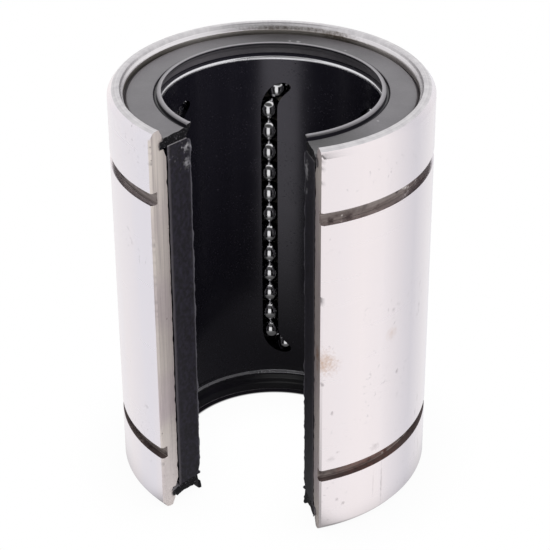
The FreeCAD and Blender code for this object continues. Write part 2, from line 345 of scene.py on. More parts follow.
def sawn_steel():
    """The cut faces: the same steel left matt by the cutter, warm grey with violet and greenish
    stretches, fine marks along the cut and a few dark pits."""
    material, tree, surface, place = new_material("sawn_steel_face", Metallic=0.25)
    stretch_size = 11 * MM
    colour, _ = dapple(
        tree, place, 1 / stretch_size, 1.0, linear("#bfb3b5"), "#cdc4be", low=0.4, high=0.6)
    stroke_width = 0.4 * MM
    stroke_length = 100 / 6 * MM
    strokes = add_node(tree, "Mapping", {
        "Vector": place, "Scale": (1 / stroke_width, 1 / stroke_width, 1 / stroke_length)})
    colour, stroke = dapple(
        tree, strokes.outputs[0], 1.0, 3.0, colour, "#8d8385", low=0.5, high=0.75, most=0.6)
    colour = tint_ring(
        tree, place, colour, "#82787a", SLEEVE_BORE + 1.8 * MM, SLEEVE_BORE + 0.2 * MM, most=0.45)
    pit_size = 0.9 * MM
    colour, _ = dapple(tree, place, 1 / pit_size, 1.0, colour, "#5d5555", low=0.76, high=0.79, most=0.8)
    # Painted shade: the middle of the left cut face and the whole right cut face are darkened.
    colour = lay_marks(tree, place, colour, SAWN_MIDDLE, CUT_PAINTED_SHADE, "#877c7c", frayed=0.5)
    colour = lay_marks(tree, place, colour, SAWN_MIDDLE, CUT_PALE, "#e4dbd9", frayed=0.5)
    colour = lay_marks(tree, place, colour, SAWN_MIDDLE, CUT_RUST, "#7c5638")
    set_finish(tree, surface, show_nicks(tree, colour), stroke, 0.42, 0.62)
    return material


def stained_groove():
    """The ring grooves: turned steel browned by old oil, paler on the floor than on the walls, with
    turning lines, reddish dirt and a few white crumbs."""
    material, tree, surface, place = new_material("oil_stained_turned_groove", Metallic=0.4)
    # Real turning lines are finer: these are as coarse as they need to be to show.
    line_pitch = 0.4 * MM
    line_length = 100 / 9 * MM
    lines = add_node(tree, "Mapping", {
        "Vector": place, "Scale": (1 / line_length, 1 / line_length, 1 / line_pitch)}).outputs[0]
    floor_tone, _ = dapple(tree, lines, 1.0, 4.0, linear("#665b58"), "#978d89", low=0.35, high=0.65)
    wall_tone, _ = dapple(tree, lines, 1.0, 4.0, linear("#483d3c"), "#655855", low=0.35, high=0.65)
    wall = add_node(tree, "MapRange", {
        "Value": from_axis(tree, place),
        "From Min": RING_GROOVE_FLOOR + SHARP / 2,
        "From Max": RING_GROOVE_FLOOR + 2 * SHARP,
    })
    mixed = add_node(tree, "MixRGB", {
        "Fac": wall.outputs[0], "Color1": floor_tone, "Color2": wall_tone}).outputs["Color"]
    dirt_size = 1.4 * MM
    colour, dirt = dapple(
        tree, place, 1 / dirt_size, 4.0, mixed, "#3d3030", low=0.52, high=0.66, most=0.85)
    colour = lay_marks(tree, place, colour, RING_GROOVE_FLOOR, GROOVE_DIRT, "#402725")
    colour = lay_marks(tree, place, colour, RING_GROOVE_FLOOR, GROOVE_RUST, "#8a5f56")
    colour = lay_marks(tree, place, colour, RING_GROOVE_FLOOR, GROOVE_WORN, "#b7aeaa")
    colour = lay_marks(tree, place, colour, RING_GROOVE_FLOOR, GROOVE_CRUMBS, "#e4dfda")
    set_finish(tree, surface, colour, dirt, 0.35, 0.6)
    return material


def turned_rim():
    """End faces and chamfers: turned steel with a satin surface, short tool marks across the rim and
    fine lines round it."""
    material, tree, surface, place = new_material("turned_steel_rim", Metallic=1.0)
    parts = add_node(tree, "SeparateXYZ", {0: place})
    turn = add_node(tree, "Math", {0: parts.outputs["Y"], 1: parts.outputs["X"]}, operation="ARCTAN2")
    tick_pitch = 0.6 * MM
    ticks = add_node(tree, "Math", {
        0: turn.outputs[0], 1: OUTER_RADIUS / tick_pitch}, operation="MULTIPLY")
    tick = add_node(tree, "TexNoise", {
        "W": ticks.outputs[0], "Scale": 1.0, "Detail": 2.0}, noise_dimensions="1D")
    blotch_size = 1.6 * MM
    blotch = add_node(tree, "TexNoise", {"Vector": place, "Scale": 1 / blotch_size, "Detail": 4.0})
    # The lines round the rim are also drawn coarser than real ones, so that they show.
    line_pitch = 0.25 * MM
    lines = add_node(tree, "Math", {0: from_axis(tree, place), 1: 1 / line_pitch}, operation="MULTIPLY")
    line = add_node(tree, "TexNoise", {
        "W": lines.outputs[0], "Scale": 1.0, "Detail": 2.0}, noise_dimensions="1D")
    marks = add_node(tree, "Math", {
        0: tick.outputs["Fac"], 1: 0.35, 2: blotch.outputs["Fac"]}, operation="MULTIPLY_ADD")
    marks = add_node(tree, "Math", {
        0: line.outputs["Fac"], 1: 0.6, 2: marks.outputs[0]}, operation="MULTIPLY_ADD")
    shade = add_node(tree, "MapRange", {"Value": marks.outputs[0], "From Min": 0.75, "From Max": 1.2})
    colour = add_node(tree, "MixRGB", {
        "Fac": shade.outputs[0], "Color1": linear("#c7c4c7"), "Color2": linear("#dad7d9")})
    set_finish(tree, surface, colour.outputs["Color"], shade.outputs[0], 0.38, 0.28)
    return material


def turned_mouth(name, dark, pale, stains, painted_highlights):
    """Inside the sleeve: turned steel with fine rings between two tones, with pale patches of painted
    highlight in places and stained brown by oil in others."""
    material, tree, surface, place = new_material(name, Metallic=0.9)
    ring_pitch = 0.18 * MM
    ring_length = 100 / 7 * MM
    rings = add_node(tree, "Mapping", {
        "Vector": place, "Scale": (1 / ring_length, 1 / ring_length, 1 / ring_pitch)})
    colour, ring = dapple(tree, rings.outputs[0], 1.0, 3.0, linear(dark), pale, low=0.35, high=0.65)
    # Painted highlights: pale patches that stand in for light reflected in the mouth wall.
    colour = lay_marks(tree, place, colour, MOUTH_RADIUS, painted_highlights, "#f1ece8", frayed=0.5)
    colour = lay_marks(tree, place, colour, MOUTH_RADIUS, stains, "#4e4030")
    set_finish(tree, surface, colour, ring, 0.3, 0.45)
    return material


SAWN_MIDDLE = (SLEEVE_BORE + OUTER_RADIUS) / 2
# Marks on the sleeve: angle in degrees, height, half width and half height in millimetres, strength
# Painted reflection: bright and dark upright bands on the ground steel.
PAINTED_REFLECTION_BANDS = [
    (-44.0, 0.0, 13.0, 400.0, 0.9),
    (-152.0, 0.0, 9.0, 400.0, 0.3),
    (-166.0, 0.0, 9.0, 400.0, 1.0),
]
PAINTED_DARK_BANDS = [
    (-17.0, 0.0, 8.0, 400.0, 0.8),
]
# Painted shade on the cut faces: the middle of the left one and all of the right one.
CUT_PAINTED_SHADE = [
    (-120.8, 2.0, 5.0, 25.0, 0.4),
    (-59.2, 4.0, 5.0, 34.0, 0.75),
]
CUT_PALE = [
    (-120.8, -32.0, 5.0, 16.0, 0.9),
]
CUT_RUST = [
    (-59.2, -1.2, 1.3, 2.2, 0.9),
    (-59.2, -3.4, 1.0, 1.6, 0.6),
]
RUST_STAINS = [
    (-58.6, -1.6, 2.6, 2.8, 0.55),
    (-56.0, -2.6, 2.6, 2.4, 0.3),
    (-29.0, -0.7, 1.8, 1.6, 0.25),
]
SCRATCHES = [
    (-32.7, -29.4, 0.3, 5.2, 0.5),
    (-36.8, -28.6, 0.2, 3.4, 0.25),
    (-5.6, -28.8, 0.3, 1.8, 0.4),
    (-58.7, -5.9, 0.5, 0.6, 0.8),
    (-54.8, -11.6, 0.4, 0.6, 0.7),
    (-36.3, -21.2, 1.3, 1.0, 0.4),
    (-55.0, -20.6, 0.9, 0.7, 0.4),
    (-52.5, -19.6, 0.5, 0.4, 0.35),
    (-10.5, -20.6, 0.35, 0.7, 0.5),
    (-25.5, -8.7, 0.7, 0.6, 0.5),
    (-28.6, 3.5, 0.6, 0.5, 0.3),
    (-50.0, -30.1, 0.6, 0.5, 0.5),
    (-52.6, -29.0, 0.5, 0.5, 0.45),
    (-8.5, -18.3, 0.4, 0.8, 0.5),
    (-129.0, -16.0, 0.8, 0.6, 0.3),
]
GROOVE_DIRT = [
    (-51.5, -23.4, 2.2, 0.7, 0.8),
    (-46.0, -23.2, 2.4, 0.5, 0.6),
    (-28.3, -24.0, 1.5, 0.6, 0.8),
    (-4.0, 23.8, 6.0, 2.0, 1.0),
    (-13.0, 23.5, 4.5, 1.8, 1.0),
]
GROOVE_RUST = [
    (-30.0, -23.6, 7.0, 1.8, 0.8),
    (-43.0, -23.6, 6.0, 1.8, 0.65),
]
GROOVE_WORN = [
    (-137.0, -23.7, 7.0, 1.3, 0.8),
    (-136.0, 23.7, 8.0, 1.0, 0.3),
    (-37.0, 23.7, 6.0, 0.9, 0.45),
    (-124.0, 23.8, 2.0, 0.8, 0.5),
]
GROOVE_CRUMBS = [
    (-21.5, 23.6, 0.5, 0.3, 1.0),
    (-19.5, 23.3, 0.7, 0.35, 1.0),
    (-17.8, 23.0, 0.4, 0.3, 1.0),
    (-50.7, 23.2, 0.28, 0.2, 1.0),
    (-11.0, 22.9, 0.3, 0.25, 0.9),
    (-29.5, -24.5, 0.3, 0.25, 1.0),
]
MOUTH_STAINS = [
    (80.0, 34.2, 2.6, 1.6, 0.9),
    (74.0, 34.0, 3.2, 1.6, 0.85),
    (68.0, 34.3, 1.6, 1.0, 0.6),
]
# Painted highlights on the mouth wall: pale patches that stand in for reflected light.
MOUTH_PAINTED_HIGHLIGHTS = [
    (52.0, 33.6, 8.0, 3.0, 0.9),
    (30.0, 33.6, 8.0, 3.0, 0.8),
    (135.0, 33.6, 8.0, 3.0, 0.5),
]
EDGE_STAINS = [
    (104.0, 34.1, 7.0, 4.0, 0.75),
    (90.0, 34.1, 8.0, 4.0, 0.75),
    (77.0, 34.1, 5.5, 4.0, 0.75),
]
# Chipped stretches of the outer cut edges: side, upper end, lower end and depth in millimetres
CHIPPED = [
    (-1, 33.0, 29.6, 0.15),
    (-1, 17.2, 2.6, 0.12),
    (-1, -25.6, -30.0, 0.08),
    (1, 33.8, 27.6, 0.14),
    (1, 18.8, 17.2, 0.18),
    (1, 10.0, 8.6, 0.16),
]
CHIP_SIZE = 0.8 * MM
CHIP_LEAST = 0.15
CHIP_SWING = 1.4
CHIP_BACK = 0.6
NICK_FULL = 0.13 * MM
EDGE_BREAK = 0.32 * MM
EDGE_REACH = 0.45 * MM
BORE_RAG = 0.13 * MM
RAG_SIZE = 1.3 * MM


def chip_depth(side, height):
    """How deep the outer edge of a cut is chipped at a height."""
    for chipped_side, upper, lower, depth in CHIPPED:
        if side == chipped_side and lower * MM < height < upper * MM:
            share = CHIP_LEAST + CHIP_SWING * lumps((0, 0, height), CHIP_SIZE, side)
            return depth * MM * max(0, share)
    return 0


sleeve = spun_section(
    both_ends([
        (SLEEVE_BORE, TAPER_END, SHARP),
        (LEDGE_RADIUS, SNAP_FLOOR, SHARP),
        (SNAP_RADIUS, SNAP_FLOOR, SHARP),
        (SNAP_RADIUS, SNAP_TOP, SHARP),
        (MOUTH_RADIUS, SNAP_TOP, SHARP),
        (MOUTH_RADIUS, HALF_LENGTH - MOUTH_EASE, EASED),
        (RIM_SHOULDER, HALF_LENGTH - RIM_SHOULDER_DROP, EASED),
        (RIM_CROWN, HALF_LENGTH, EASED),
        (RIM_BROW, HALF_LENGTH - RIM_BROW_DROP, WORN),
        (OUTER_RADIUS, HALF_LENGTH - END_CHAMFER, SHARP),
        (OUTER_RADIUS, RING_GROOVE_TOP, SHARP),
        (RING_GROOVE_FLOOR, RING_GROOVE_TOP, SHARP),
        (RING_GROOVE_FLOOR, RING_GROOVE_LOW, SHARP),
        (OUTER_RADIUS, RING_GROOVE_LOW, SHARP),
    ]),
    SLEEVE_ROW,
)
GROUND, SAWN, GROOVE, RIM, MOUTH, EASED_EDGE = range(6)
for face in sleeve.faces:
    centre = face.calc_center_median()
    radius = math.hypot(centre.x, centre.y)
    height = abs(centre.z)
    side, depth = nearest_cut(centre)
    rubbed = side < 0 and depth + OUTER_RADIUS - radius < EDGE_BREAK
    in_groove = RING_GROOVE_LOW < height < RING_GROOVE_TOP
    if depth < END_FACE or rubbed:
        face.material_index = SAWN
    elif in_groove and SLEEVE_BORE + MM < radius < OUTER_RADIUS - SHARP:
        face.material_index = GROOVE
    elif radius < SNAP_RADIUS + SHARP and height < HALF_LENGTH - MOUTH_EASE:
        face.material_index = MOUTH
    elif radius < RIM_SHOULDER:
        face.material_index = EASED_EDGE
    elif RIM_SHOULDER < radius < RIM_BROW + SHARP:
        face.material_index = RIM
    else:
        face.material_index = GROUND
nick = sleeve.verts.layers.float.new("nick")
for corner in sleeve.verts:
    side, depth = nearest_cut(corner.co)
    radius = math.hypot(corner.co.x, corner.co.y)
    outward = Vector((corner.co.x, corner.co.y, 0)) / radius
    near = max(0, 1 - depth / EDGE_REACH)
    near_outside = near * max(0, 1 - (OUTER_RADIUS - radius) / EDGE_REACH)
    near_bore = near * max(0, 1 - (radius - SLEEVE_BORE) / EDGE_REACH)
    chip = chip_depth(side, corner.co.z) * near_outside
    corner[nick] = min(1, chip / NICK_FULL)
    ragged = BORE_RAG * lumps((0, side, corner.co.z), RAG_SIZE, 7) * near_bore
    broken = max(0, EDGE_BREAK - depth - (OUTER_RADIUS - radius))
    corner.co += outward * (ragged - chip - broken)
    corner.co += behind_cut(side) * (CHIP_BACK * chip + abs(ragged))
sleeve_materials = [
    ground_steel(),
    sawn_steel(),
    stained_groove(),
    turned_rim(),
    turned_mouth("dull_turned_mouth", "#77726c", "#b2aca6", MOUTH_STAINS, MOUTH_PAINTED_HIGHLIGHTS),
    turned_mouth("bright_mouth_edge", "#dedadd", "#efecee", EDGE_STAINS, []),
]
as_piece("sleeve_ground_steel", sleeve, sleeve_materials, "outer_sleeve")

# Ball retainer: one black moulded cage inside the sleeve, cut open with it. Five closed ball tracks
# are sunk into its outside, and each breaks through to the bore along its load lane.
# The cut left burrs along its edges.
cage_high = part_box("ball_retainer")[1]
CAGE_HALF = cage_high.z
CAGE_OUTER = cage_high.x
CAGE_BORE = 17.7 * MM
CAGE_FLARE = 0.35 * MM
CAGE_FLARE_DEPTH = 1.9 * MM
CAGE_FLOOR = CAGE_BORE + 0.45 * MM
CAGE_EDGE = 0.12 * MM
CAGE_BEAD_HEIGHT = 0.4 * MM
CAGE_MOUTH_DROP = 0.42 * MM
CAGE_MOUTH_WIDTH = 0.9 * MM
CAGE_MOUTH_ROUND = 0.4 * MM
# Where the painted highlight on the cage's upper mouth edge reaches.
HIGHLIGHT_FOOT = CAGE_HALF - CAGE_MOUTH_DROP - CAGE_MOUTH_ROUND
HIGHLIGHT_RADIUS = CAGE_BORE + 0.6 * CAGE_MOUTH_ROUND
CAGE_ROW = 0.4 * MM
CIRCUITS = 5
CIRCUIT_SPACING = math.tau / 6
CIRCUIT_SHIFT = math.radians(3.6)
FIRST_CIRCUIT = CIRCUIT_SPACING - math.pi / 2 + CIRCUIT_SHIFT
BALL_RADIUS = 3.969 / 2 * MM
BALL_PITCH = 4.02 * MM
SHAFT_RADIUS = 17.5 * MM
BALL_CIRCLE = SHAFT_RADIUS + BALL_RADIUS
TURN_RADIUS = BALL_PITCH + 0.08 * MM
STRAIGHT_PITCHES = 11
HALF_STRAIGHT = STRAIGHT_PITCHES * BALL_PITCH / 2
UPPER_STRAIGHT = HALF_STRAIGHT - 0.4 * MM
LOWER_STRAIGHT = HALF_STRAIGHT - 0.2 * MM
TRACK_WIDTH = 4.5 * MM
CHANNEL_RADIUS = BALL_RADIUS + 0.33 * MM
LOAD_OUT = math.sqrt(BALL_CIRCLE ** 2 - TURN_RADIUS ** 2)
HOOK_RISE = 1.05 * MM
TURN_STEPS = 20
HOOK_STEPS = 14
CHANNEL_SIDES = 48
CUT_SPREAD = 0.26 * MM
CUT_WAVE = 0.12 * MM
CUT_FRAY = 0.08 * MM
CUT_WAVE_SIZE = 4 * MM
CUT_FRAY_SIZE = 0.9 * MM
CUT_EDGE = 0.8 * MM
BURR = 0.22 * MM
BURR_WIDTH = 0.3 * MM
BURR_SIZE = 2.2 * MM
FINE_BURR_SIZE = 0.7 * MM
FINE_BURR_SHARE = 0.5
BURR_LEAST = 0.25
BURR_INWARD = 0.4
SCUFF_RADIUS = CAGE_BORE + 0.8 * MM


def black_acetal():
    """Moulded black acetal: blue-black, glossy where the mould was polished, with sparse dust and
    patches of fine pits that dull it."""
    material, tree, surface, place = new_material(
        "moulded_black_acetal", IOR=1.48, Specular_IOR_Level=0.7, Specular_Tint=(0.94, 0.9, 1.0, 1.0))
    dust_size = 0.5 * MM
    colour, _ = dapple(
        tree, place, 1 / dust_size, 3.0, linear("#17161d"), "#55535a", low=0.66, high=0.8, most=0.35)
    tree.links.new(colour, surface.inputs["Base Color"])
    cloud_size = 5 * MM
    cloud = add_node(tree, "TexNoise", {"Vector": place, "Scale": 1 / cloud_size, "Detail": 3.0})
    rough = add_node(tree, "MapRange", {"Value": cloud.outputs["Fac"], "To Min": 0.16, "To Max": 0.28})
    patch = add_node(tree, "MapRange", {
        "Value": cloud.outputs["Fac"], "From Min": 0.45, "From Max": 0.6})
    pit_size = 0.35 * MM
    pit = add_node(tree, "TexNoise", {"Vector": place, "Scale": 1 / pit_size, "Detail": 2.0})
    pits = add_node(tree, "MapRange", {
        "Value": pit.outputs["Fac"], "From Min": 0.64, "From Max": 0.72, "To Max": 0.5})
    rough = add_node(tree, "Math", {
        0: pits.outputs[0], 1: patch.outputs[0], 2: rough.outputs[0]}, operation="MULTIPLY_ADD")
    tree.links.new(rough.outputs[0], surface.inputs["Roughness"])
    return material


def cut_acetal():
    """The cage's cut faces: the plastic left grey and dull by the cutter, faintly mottled, with pale
    scuffs near the top, a pale line where the seal sat and paler bands along the edges, painted
    highlights on the burrs there."""
    material, tree, surface, place = new_material("cut_black_acetal", Roughness=0.55, IOR=1.48)
    grit = 0.6 * MM
    colour, fleck = dapple(tree, place, 1 / grit, 5.0, linear("#161419"), "#272430", low=0.4, high=0.7)
    # Painted highlights: paler bands along the bore edge and the sleeve edge of each cut face, on the
    # burrs.
    colour = tint_ring(
        tree, place, colour, "#55535a", CAGE_BORE + 0.28 * MM, CAGE_BORE + 0.08 * MM, most=0.8)
    colour = tint_ring(tree, place, colour, "#514d52", CAGE_OUTER - 0.35 * MM, CAGE_OUTER, most=0.7)
    height = add_node(tree, "SeparateXYZ", {0: place}).outputs["Z"]
    seat = add_node(tree, "Math", {
        0: height, 1: CAGE_HALF - CAGE_EDGE / 2, 2: CAGE_EDGE}, operation="COMPARE")
    seat = add_node(tree, "Math", {0: seat.outputs[0], 1: 0.6}, operation="MULTIPLY")
    mixed = add_node(tree, "MixRGB", {
        "Fac": seat.outputs[0], "Color1": colour, "Color2": linear("#8d8a8c")})
    top = add_node(tree, "MapRange", {
        "Value": height, "From Min": CAGE_HALF - 6 * MM, "From Max": CAGE_HALF - MM})
    scuff_size = 0.55 * MM
    scuff = add_node(tree, "TexNoise", {"Vector": place, "Scale": 1 / scuff_size, "Detail": 5.0})
    scuffs = add_node(tree, "MapRange", {
        "Value": scuff.outputs["Fac"], "From Min": 0.6, "From Max": 0.72, "To Max": 0.6})
    pale_top = add_node(tree, "Math", {0: top.outputs[0], 1: scuffs.outputs[0]}, operation="MULTIPLY")
    mixed = add_node(tree, "MixRGB", {
        "Fac": pale_top.outputs[0], "Color1": mixed.outputs["Color"], "Color2": linear("#a8a6aa")})
    colour = lay_marks(
        tree, place, mixed.outputs["Color"], SCUFF_RADIUS, CUT_SCUFFS, "#b5b3b7", frayed=2.6)
    tree.links.new(colour, surface.inputs["Base Color"])
    bump = add_node(tree, "Bump", {"Height": fleck, "Strength": 0.3, "Distance": 0.08 * MM})
    tree.links.new(bump.outputs[0], surface.inputs["Normal"])
    return material


# Scuffs on the cage's cut faces: angle in degrees, height, half width and half height in
# millimetres, strength
CUT_SCUFFS = [
    (-120.8, 30.2, 0.9, 0.9, 0.8),
    (-120.8, 27.4, 0.8, 1.2, 0.7),
    (-59.2, 28.6, 1.0, 2.2, 0.8),
    (-59.2, 24.8, 0.6, 1.2, 0.5),
]


def painted_highlight_edge(name, shine, dull, pale):
    """The rounded edge of the cage's mouth, pale and metallic as a painted highlight, so that it shows
    as a bright line.
    """
    material, tree, surface, place = new_material(name, Metallic=shine)
    highlight_patch_size = 2.5 * MM
    colour, highlight_patches = dapple(tree, place, 1 / highlight_patch_size, 2.0, linear(dull), pale)
    set_finish(tree, surface, colour, highlight_patches, 0.2, 0.36)
    return material


def add_to(whole, part):
    """Join one mesh into another."""
    mesh = bpy.data.meshes.new("joined")
    part.to_mesh(mesh)
    part.free()
    whole.from_mesh(mesh)
    bpy.data.meshes.remove(mesh)


def face_circuit(part, circuit):
    """Turn a part made along the X axis to face one of the circuits."""
    facing = Matrix.Rotation(FIRST_CIRCUIT + circuit * CIRCUIT_SPACING, 3, "Z")
    bmesh.ops.rotate(part, verts=part.verts, matrix=facing)
    bmesh.ops.recalc_face_normals(part, faces=part.faces)


def track_cutters():
    """Solids of the five closed tracks: a flat-bottomed groove swept round a long loop."""
    tracks = bmesh.new()
    bottom_cuts = 4
    near = TURN_RADIUS - TRACK_WIDTH / 2
    across = [near + TRACK_WIDTH * index / bottom_cuts for index in range(bottom_cuts + 1)]
    for circuit in range(CIRCUITS):
        loop = bmesh.new()
        profile = [loop.verts.new((CAGE_BORE, y, -HALF_STRAIGHT)) for y in across]
        profile += [loop.verts.new((OUTER_RADIUS, y, -HALF_STRAIGHT)) for y in (across[-1], across[0])]
        ends = [loop.faces.new(profile)]
        for up in (1, -1):
            raised = bmesh.ops.extrude_face_region(loop, geom=ends)["geom"]
            moved = [item for item in raised if isinstance(item, bmesh.types.BMVert)]
            bmesh.ops.translate(loop, verts=moved, vec=(0, 0, up * 2 * HALF_STRAIGHT))
            ends = [item for item in raised if isinstance(item, bmesh.types.BMFace)]
            turn = bmesh.ops.spin(
                loop,
                geom=ends + list(ends[0].edges) + list(ends[0].verts),
                cent=(0, 0, up * HALF_STRAIGHT),
                axis=(1, 0, 0),
                angle=math.pi,
                steps=TURN_STEPS,
                use_merge=False,
            )["geom_last"]
            ends = [item for item in turn if isinstance(item, bmesh.types.BMFace)]
        bmesh.ops.remove_doubles(loop, verts=loop.verts, dist=MERGE)
        caps = [face for face in loop.faces if len(face.verts) > 4]
        bmesh.ops.delete(loop, geom=caps, context="FACES_ONLY")
        for corner in loop.verts:
            if corner.co.x < (CAGE_BORE + OUTER_RADIUS) / 2:
                corner.co.x = math.sqrt(CAGE_FLOOR ** 2 - corner.co.y ** 2)
        face_circuit(loop, circuit)
        add_to(tracks, loop)
    return tracks


def slot_cutters():
    """Solids of the five load slots: a round channel with a hook at each end that lifts the balls off
    the shaft."""
    slots = bmesh.new()
    axis = Vector((TURN_RADIUS, HOOK_RISE, 0)).normalized()
    for circuit in range(CIRCUITS):
        channel = bmesh.new()
        for up, straight in ((1, UPPER_STRAIGHT), (-1, LOWER_STRAIGHT)):
            half = bmesh.new()
            bmesh.ops.create_circle(
                half,
                cap_ends=True,
                segments=CHANNEL_SIDES,
                radius=CHANNEL_RADIUS,
                matrix=Matrix.Translation((LOAD_OUT, TURN_RADIUS, 0)),
            )
            raised = bmesh.ops.extrude_face_region(half, geom=half.faces[:])["geom"]
            moved = [item for item in raised if isinstance(item, bmesh.types.BMVert)]
            bmesh.ops.translate(half, verts=moved, vec=(0, 0, straight))
            end = [item for item in raised if isinstance(item, bmesh.types.BMFace)]
            bmesh.ops.spin(
                half,
                geom=end + list(end[0].edges) + list(end[0].verts),
                cent=(LOAD_OUT + HOOK_RISE, 0, straight),
                axis=axis,
                angle=math.pi / 2,
                steps=HOOK_STEPS,
                use_merge=False,
            )
            middle = [
                face for face in half.faces
                if all(abs(corner.co.z) < MERGE for corner in face.verts)
            ]
            bmesh.ops.delete(half, geom=middle, context="FACES_ONLY")
            bmesh.ops.scale(half, verts=half.verts, vec=(1, 1, up))
            add_to(channel, half)
        bmesh.ops.remove_doubles(channel, verts=channel.verts, dist=MERGE)
        face_circuit(channel, circuit)
        add_to(slots, channel)
    return slots


def take_out(piece, solids):
    """Take solids out of a piece for good."""
    mesh = bpy.data.meshes.new("solids")
    solids.to_mesh(mesh)
    solids.free()
    other = bpy.data.objects.new("solids", mesh)
    bpy.context.scene.collection.objects.link(other)
    modifier = piece.modifiers.new("take_out", "BOOLEAN")
    modifier.operation = "DIFFERENCE"
    modifier.solver = "MANIFOLD"
    modifier.object = other
    graph = bpy.context.evaluated_depsgraph_get()
    result = bpy.data.meshes.new_from_object(piece.evaluated_get(graph))
    piece.modifiers.remove(modifier)
    piece.data = result
    bpy.data.objects.remove(other)
    result.set_sharp_from_angle(angle=SMOOTH_BELOW)


cage = spun_section(
    [
        (CAGE_BORE, CAGE_HALF - CAGE_MOUTH_DROP, CAGE_MOUTH_ROUND),
        (CAGE_BORE + CAGE_MOUTH_WIDTH, CAGE_HALF, CAGE_EDGE),
        (CAGE_OUTER, CAGE_HALF, CAGE_EDGE),
        (CAGE_OUTER, -CAGE_HALF, CAGE_EDGE),
        (CAGE_BORE, -CAGE_HALF, CAGE_EDGE),
        (CAGE_BORE, CAGE_BEAD_HEIGHT - CAGE_HALF, CAGE_EDGE),
        (CAGE_BORE + CAGE_FLARE, 2 * CAGE_BEAD_HEIGHT - CAGE_HALF, CAGE_EDGE),
        (CAGE_BORE, CAGE_FLARE_DEPTH - CAGE_HALF, CAGE_EDGE),
    ],
    CAGE_ROW,
)
MOULDED, CUT, UPPER_EDGE, LOWER_EDGE = range(4)
for face in cage.faces:
    centre = face.calc_center_median()
    side, depth = nearest_cut(centre)
    radius = math.hypot(centre.x, centre.y)
    over_bead = CAGE_BEAD_HEIGHT < centre.z + CAGE_HALF < 2 * CAGE_BEAD_HEIGHT
    if depth < END_FACE:
        face.material_index = CUT
    elif centre.z > HIGHLIGHT_FOOT and radius < HIGHLIGHT_RADIUS:
        face.material_index = UPPER_EDGE
    elif over_bead and radius < CAGE_BORE + CAGE_FLARE:
        face.material_index = LOWER_EDGE
    else:
        face.material_index = MOULDED
for corner in cage.verts:
    side, depth = nearest_cut(corner.co)
    radius = math.hypot(corner.co.x, corner.co.y)
    outward = Vector((corner.co.x, corner.co.y, 0)) / radius
    near = max(0, 1 - depth / CUT_EDGE)
    near_sleeve = near * max(0, 1 - (CAGE_OUTER - radius) / CUT_EDGE)
    near_bore = max(0, 1 - depth / BURR_WIDTH) * max(0, 1 - (radius - CAGE_BORE) / BURR_WIDTH)
    along = (0, side, corner.co.z)
    spread = CUT_SPREAD + CUT_WAVE * lumps(along, CUT_WAVE_SIZE, 3)
    spread += CUT_FRAY * lumps(along, CUT_FRAY_SIZE, 5)
    rise = BURR_LEAST + lumps(along, BURR_SIZE, 9)
    rise += FINE_BURR_SHARE * lumps(along, FINE_BURR_SIZE, 11)
    burr = BURR * max(0, rise)
    corner.co += outward * (spread * near_sleeve - BURR_INWARD * burr * near_bore)
    corner.co -= behind_cut(side) * burr * near_bore
retainer = as_piece(
    "retainer_moulded_cage",
    cage,
    [
        black_acetal(),
        cut_acetal(),
        # Painted highlights: the mouth edges are pale and metallic so that they show as bright lines.
        painted_highlight_edge("upper_edge_painted_highlight", 0.95, "#d2d1d5", "#efeef1"),
        painted_highlight_edge("lower_edge_painted_highlight", 0.6, "#9b9a9f", "#b8b7bb"),
    ],
    "ball_retainer",
)
take_out(retainer, track_cutters())
take_out(retainer, slot_cutters())

# End seals: two black moulded rings, each snapped into the groove inside its end of the sleeve.
# A bead sits in the groove, a flat face fills the mouth and a thin lip stands round the shaft.
# They were cut open with the sleeve, and their ends are torn.
SEAL_BEAD = 23.9 * MM
SEAL_RIM = 23.35 * MM
SEAL_SKIRT = 22.6 * MM
LIP_RADIUS = 17.4 * MM
LIP_BACK = 18.2 * MM
LIP_SLOPE = 0.14 * MM
LIP_GROOVE = 0.4 * MM
LIP_UNDERCUT = 0.25 * MM
SEAL_RELIEF = 18.1 * MM
SEAL_FLANGE = 18.4 * MM
SEAL_EDGE = 0.4 * MM
SEAT_DEPTH = 3.2 * MM
BEAD_DEPTH = 3.5 * MM
BEAD_TOP_DEPTH = 2.3 * MM
FACE_OUTER_DEPTH = 1.76 * MM
FACE_INNER_DEPTH = 1.5 * MM
UPPER_LIP_DEPTH = 0.9 * MM
LOWER_LIP_DEPTH = 0.08 * MM
RELIEF_HEIGHT = 0.65 * MM
SEAL_ROUND = 0.12 * MM
LIP_ROUND = 0.2 * MM
SEAL_ROW = 0.25 * MM
LIP_TOP_BAND = 1.6 * LIP_ROUND
HOLLOW_DROP = 1.2 * LIP_GROOVE
FACE_INNER = LIP_BACK + 1.4 * SEAL_EDGE
TORN = 0.14 * MM
TORN_SIZE = 0.8 * MM
TORN_REACH = 0.5 * MM
FLAP = 0.4 * MM
FLAP_START = 21.6 * MM


